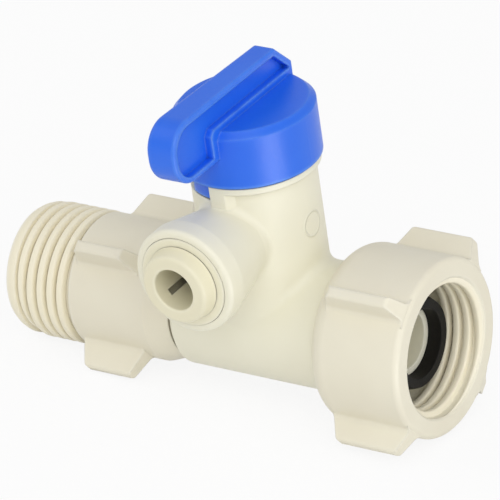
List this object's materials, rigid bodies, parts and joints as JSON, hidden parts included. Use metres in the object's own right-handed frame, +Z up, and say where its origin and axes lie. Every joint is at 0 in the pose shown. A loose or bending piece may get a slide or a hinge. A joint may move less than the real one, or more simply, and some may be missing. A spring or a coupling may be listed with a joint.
{
  "type": "angle valve",
  "caption": "Plastic quarter-turn angle valve with a winged swivel nut, a winged male-thread adapter, a push-in tube outlet and a blue lever handle.",
  "frame": {"origin": "on the axis of the run, under the middle of the tower, where the run and the tower cross", "axes": "+X along the run towards the swivel nut, -Y out of the tube outlet, +Z up the tower to the handle"},
  "size_m": [0.072, 0.0365, 0.0546],
  "materials": {
    "cream_plastic": "satin moulded",
    "blue_plastic": "satin moulded",
    "black_rubber": "matte",
    "white_acetal": "smooth",
    "seat_plastic": "waxy",
    "tooth_steel": "sheared"
  },
  "bodies": {
    "valve": {"valve_body": "cream_plastic", "male_adapter": "cream_plastic", "adapter_seal_ring": "black_rubber", "inlet_washer": "black_rubber", "outlet_seat": "seat_plastic", "lower_seat": "seat_plastic", "stem_retainer": "white_acetal", "outlet_cartridge": "cream_plastic", "tube_seal_ring": "black_rubber", "ring_spacer": "white_acetal", "tube_stop": "white_acetal"},
    "lever": {"handle": "blue_plastic", "valve_stem": "white_acetal", "valve_ball": "white_acetal", "lower_stem_ring": "black_rubber", "upper_stem_ring": "black_rubber"},
    "nut": {"swivel_nut": "cream_plastic"},
    "collet": {"tube_collet": "cream_plastic", "collet_teeth": "tooth_steel"}
  },
  "joints": [
    {"name": "handle_turn", "type": "hinge", "parent": "valve", "child": "lever", "pos_m": [0, 0, 0.0305], "axis": [0, 0, 1], "range_deg": [-90, 0]},
    {"name": "nut_spin", "type": "hinge", "parent": "valve", "child": "nut", "pos_m": [0.0155, 0, 0], "axis": [1, 0, 0], "continuous": true},
    {"name": "collet_slide", "type": "slide", "parent": "valve", "child": "collet", "axis": [0, -1, 0], "range_m": [0, 0.0011]}
  ]
}
